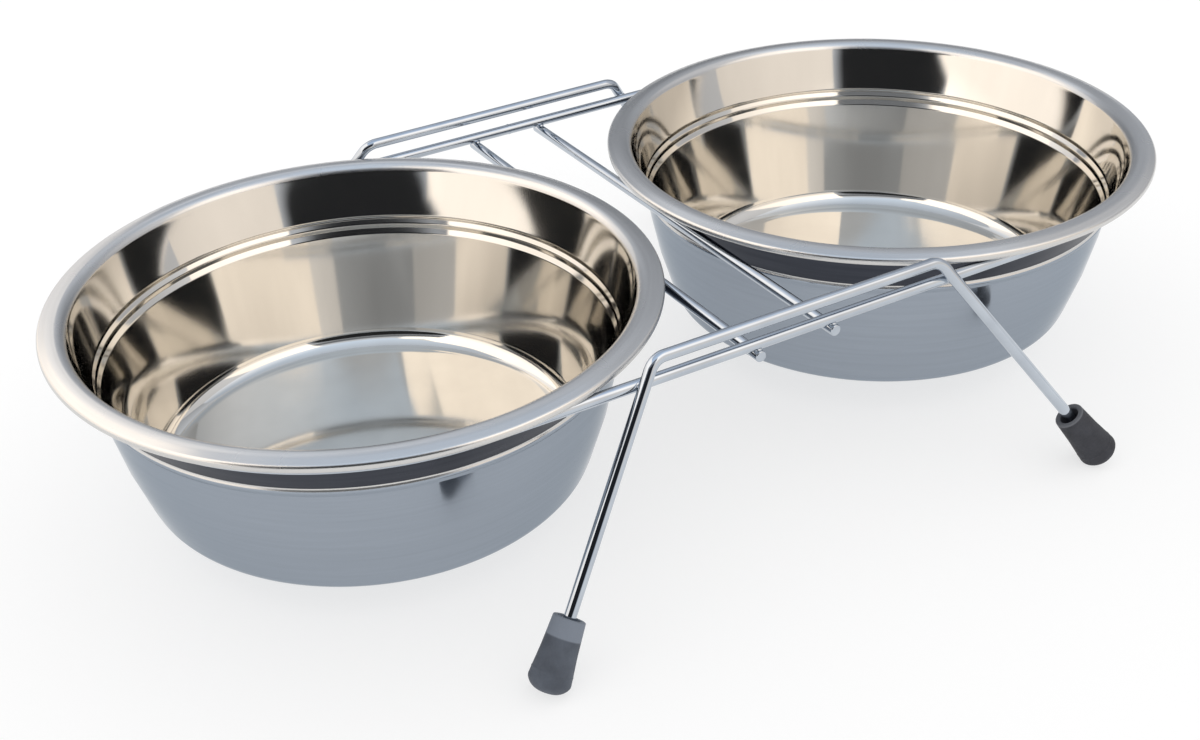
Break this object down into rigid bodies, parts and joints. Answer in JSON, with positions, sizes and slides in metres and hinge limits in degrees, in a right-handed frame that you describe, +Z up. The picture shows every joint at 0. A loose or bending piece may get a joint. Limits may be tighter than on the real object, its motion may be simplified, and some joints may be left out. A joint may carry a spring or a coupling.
{
  "type": "double pet bowl",
  "caption": "Round steel feeding bowls with rolled lips, hung by their necks side by side in a low welded chrome wire stand with splayed legs and push-on rubber feet.",
  "frame": {"origin": "on the floor, under the middle of the stand", "axes": "+X from the left bowl to the right bowl, -Y the front, +Z up"},
  "size_m": [0.433, 0.2668, 0.0877],
  "materials": {
    "bowl_steel": "pressed stainless steel: polished inside, satin lip, brushed round the outside",
    "chrome_wire": "bright chrome plate on drawn steel wire",
    "foot_rubber": "matt moulded dark grey rubber"
  },
  "bodies": {
    "stand": {"support_loop": "chrome_wire", "left_cross_wire": "chrome_wire", "right_cross_wire": "chrome_wire", "front_leg_frame": "chrome_wire", "rear_leg_frame": "chrome_wire", "front_left_foot": "foot_rubber", "front_right_foot": "foot_rubber", "rear_left_foot": "foot_rubber", "rear_right_foot": "foot_rubber"},
    "left_bowl": {"left_bowl": "bowl_steel"},
    "right_bowl": {"right_bowl": "bowl_steel"}
  },
  "joints": [
    {"name": "left_bowl_lift", "type": "slide", "parent": "stand", "child": "left_bowl", "axis": [0, 0, 1], "range_m": [0, 0.085]},
    {"name": "right_bowl_lift", "type": "slide", "parent": "stand", "child": "right_bowl", "axis": [0, 0, 1], "range_m": [0, 0.085]}
  ]
}
